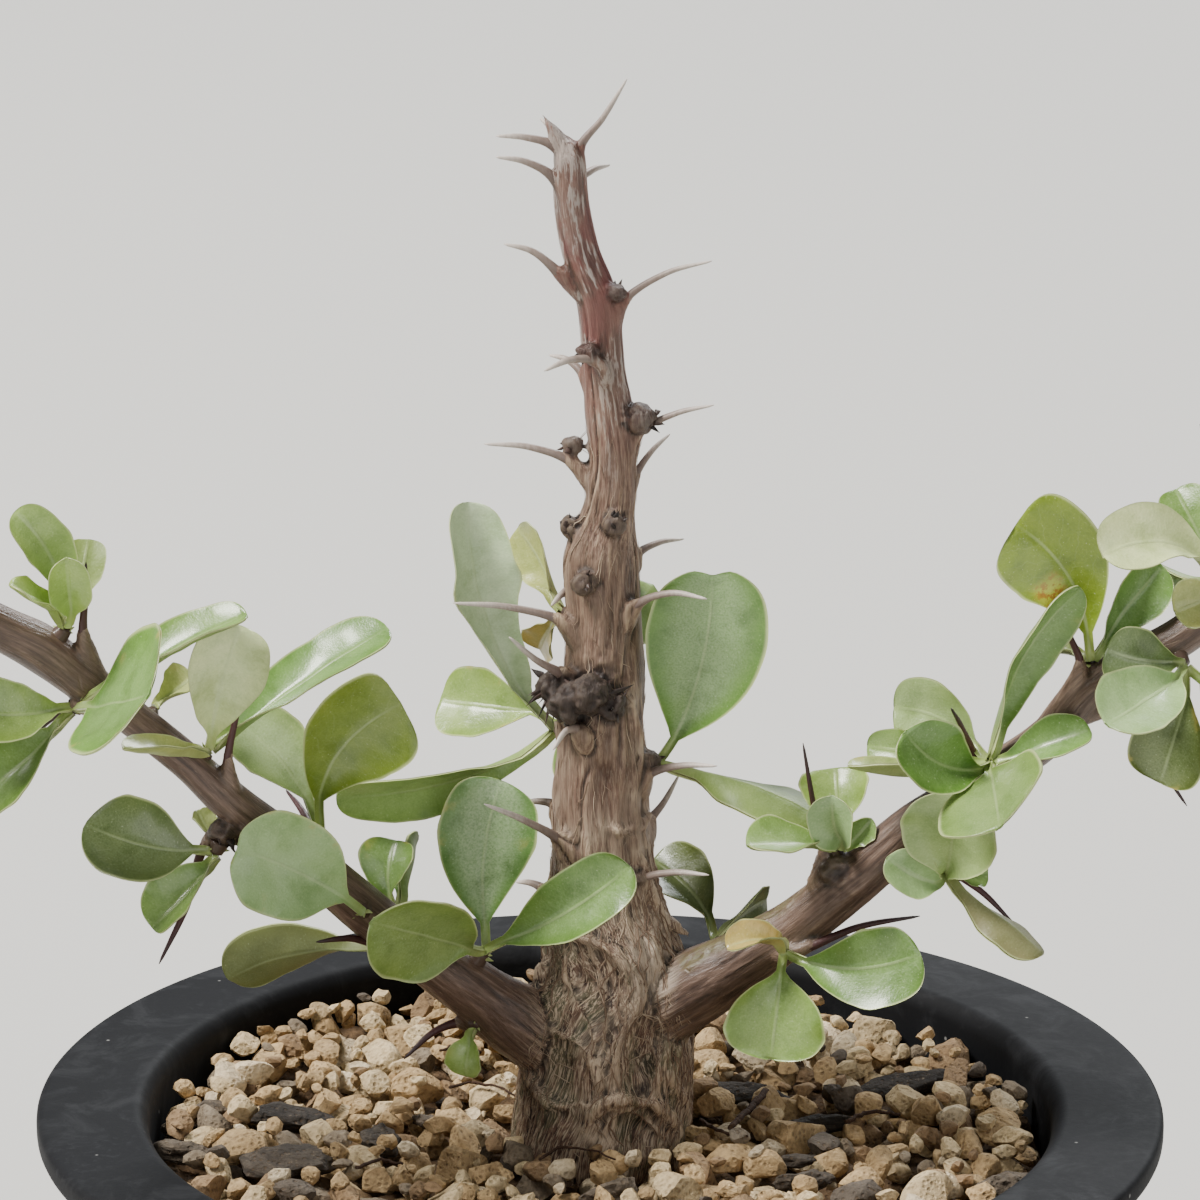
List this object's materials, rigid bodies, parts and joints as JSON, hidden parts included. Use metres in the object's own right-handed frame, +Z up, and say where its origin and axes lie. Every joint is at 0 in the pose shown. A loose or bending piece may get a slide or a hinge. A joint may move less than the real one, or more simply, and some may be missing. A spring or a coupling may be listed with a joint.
{
  "type": "potted fouquieria formosa",
  "caption": "Spiny succulent shrub with a swollen trunk, spreading branches and small spoon-shaped leaves, in a round wide-brimmed pot of gritty soil.",
  "frame": {"origin": "centre of the pot's base, on the surface it rests on", "axes": "+Z up, +X to the right of the front view, +Y away from it"},
  "size_m": [0.2002, 0.132, 0.2023],
  "materials": {
    "pot": "matt black glaze",
    "soil": "rough dry grit",
    "bark": "fibrous and fissured bark",
    "leaf": "smooth, softly glossy leaf"
  },
  "bodies": {
    "root": {"pot": "pot", "soil": "soil", "stem": "bark", "trunk_leaves_left_upper": "leaf", "trunk_leaves_left_mid": "leaf", "trunk_leaves_right": "leaf", "trunk_leaves_back": "leaf", "trunk_leaves_back_low": "leaf", "left_leaves_inner": "leaf", "left_leaf_hanging": "leaf", "left_leaves_outer_front": "leaf", "left_leaves_outer_back": "leaf", "left_leaves_outer_under": "leaf", "left_leaves_mid_top": "leaf", "left_leaves_mid_under": "leaf", "left_leaves_top": "leaf", "left_leaf_small": "leaf", "left_leaves_end_under": "leaf", "left_leaves_end_top": "leaf", "left_leaves_tip_low": "leaf", "left_leaves_tip": "leaf", "right_leaves_inner_back": "leaf", "right_leaves_inner_front": "leaf", "right_leaves_mid_top": "leaf", "right_leaves_mid_under": "leaf", "right_leaves_outer": "leaf", "right_leaves_bend": "leaf", "right_leaves_far_front": "leaf", "right_leaves_far_top": "leaf", "right_leaves_tip_low": "leaf", "right_leaves_tip": "leaf"}
  },
  "joints": []
}
